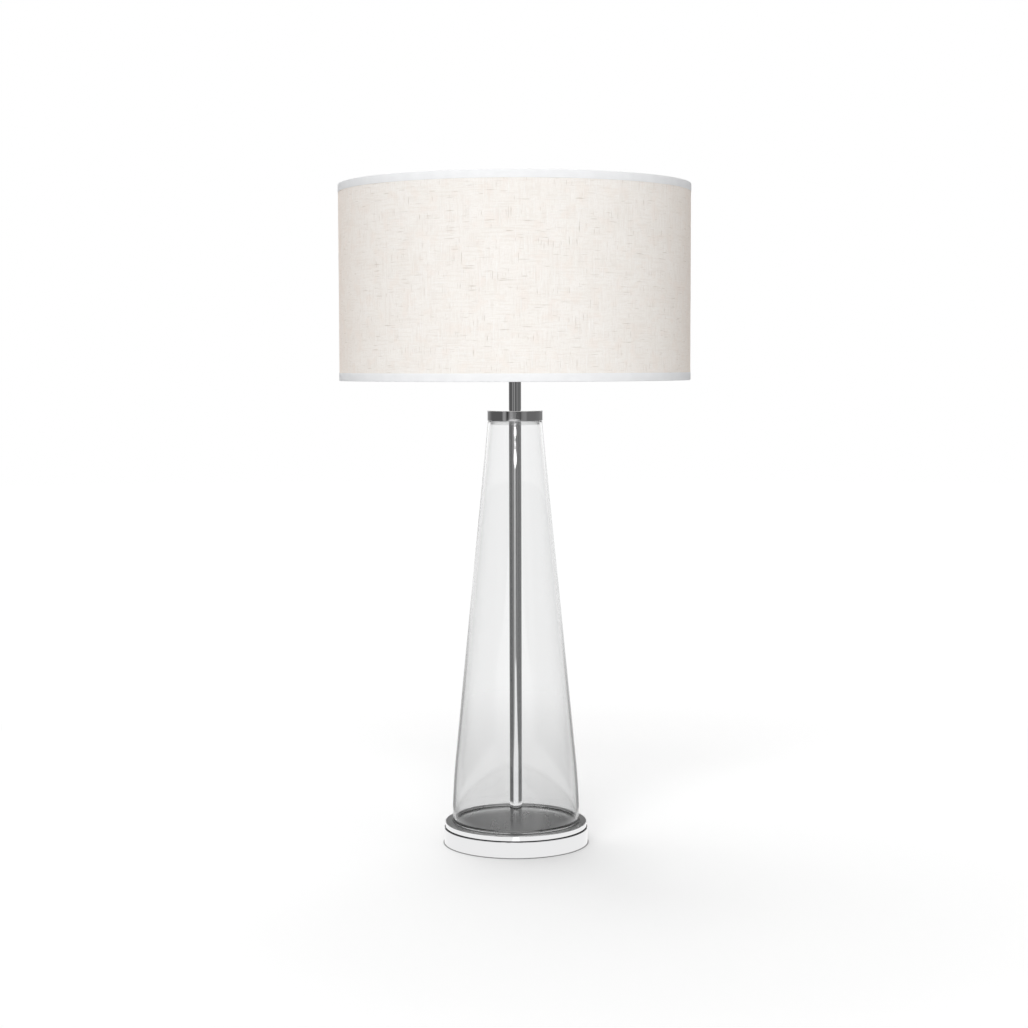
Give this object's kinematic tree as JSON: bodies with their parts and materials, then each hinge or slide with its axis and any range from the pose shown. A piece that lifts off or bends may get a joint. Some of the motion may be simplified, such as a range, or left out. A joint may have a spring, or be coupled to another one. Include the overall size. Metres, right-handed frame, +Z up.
{
  "type": "table lamp",
  "caption": "Table lamp: a tall clear glass cone on a round metal base, a central tube and cap, and a linen drum shade that turns on its lampholder.",
  "frame": {"origin": "on the surface the lamp stands on, under the middle of its base", "axes": "+Z up along the lamp's axis, +Y towards the rear, where the cord inlet and the shade's seam are"},
  "size_m": [0.4499, 0.45, 0.85],
  "materials": {
    "felt": "matte felt",
    "chrome": "polished",
    "cast_iron": "rough cast",
    "black_rubber": "matte",
    "clear_gasket": "clear silicone",
    "zinc_steel": "zinc plated",
    "clear_glass": "clear, hand-blown",
    "holder_plastic": "moulded, satin",
    "brass": "bright",
    "linen": "slubbed linen weave",
    "liner": "smooth white",
    "tape": "satin ribbon",
    "white_wire": "gloss white",
    "bulb_metal": "bright",
    "bulb_black": "black glass",
    "bulb_white": "satin white",
    "bulb_opal": "opal diffuser"
  },
  "bodies": {
    "stand": {"felt_pad": "felt", "base_plinth": "chrome", "base_disc": "chrome", "centre_tube": "chrome", "glass_cap": "chrome", "stem": "chrome", "base_weight": "cast_iron", "cord_inlet": "black_rubber", "groove_spacer": "black_rubber", "foot_gasket": "clear_gasket", "top_gasket": "clear_gasket", "threaded_rod": "zinc_steel", "base_nut": "zinc_steel", "base_washer": "zinc_steel", "grub_screw": "zinc_steel", "terminal_screws": "zinc_steel", "glass_cone": "clear_glass", "holder_cap": "holder_plastic", "holder_skirt": "holder_plastic", "holder_insert": "holder_plastic", "retaining_ring": "holder_plastic", "thread_shell": "brass", "centre_contact": "brass"},
    "shade": {"shade_fabric": "linen", "shade_liner": "liner", "trim_bottom": "tape", "trim_top": "tape", "wire_ring_bottom": "zinc_steel", "wire_ring_top": "zinc_steel", "shade_spider": "white_wire"},
    "bulb": {"bulb_contact": "bulb_metal", "bulb_insulator": "bulb_black", "bulb_cap": "bulb_metal", "bulb_housing": "bulb_white", "bulb_globe": "bulb_opal"},
    "switch": {"push_bar": "holder_plastic"}
  },
  "joints": [
    {"name": "shade_turn", "type": "hinge", "parent": "stand", "child": "shade", "pos_m": [0, 0, 0.632], "axis": [0, 0, 1], "continuous": true},
    {"name": "bulb_out", "type": "slide", "parent": "stand", "child": "bulb", "axis": [0, 0, 1], "range_m": [0, 0.03]},
    {"name": "switch_push", "type": "slide", "parent": "stand", "child": "switch", "axis": [1, 0, 0], "range_m": [0, 0.005]}
  ]
}
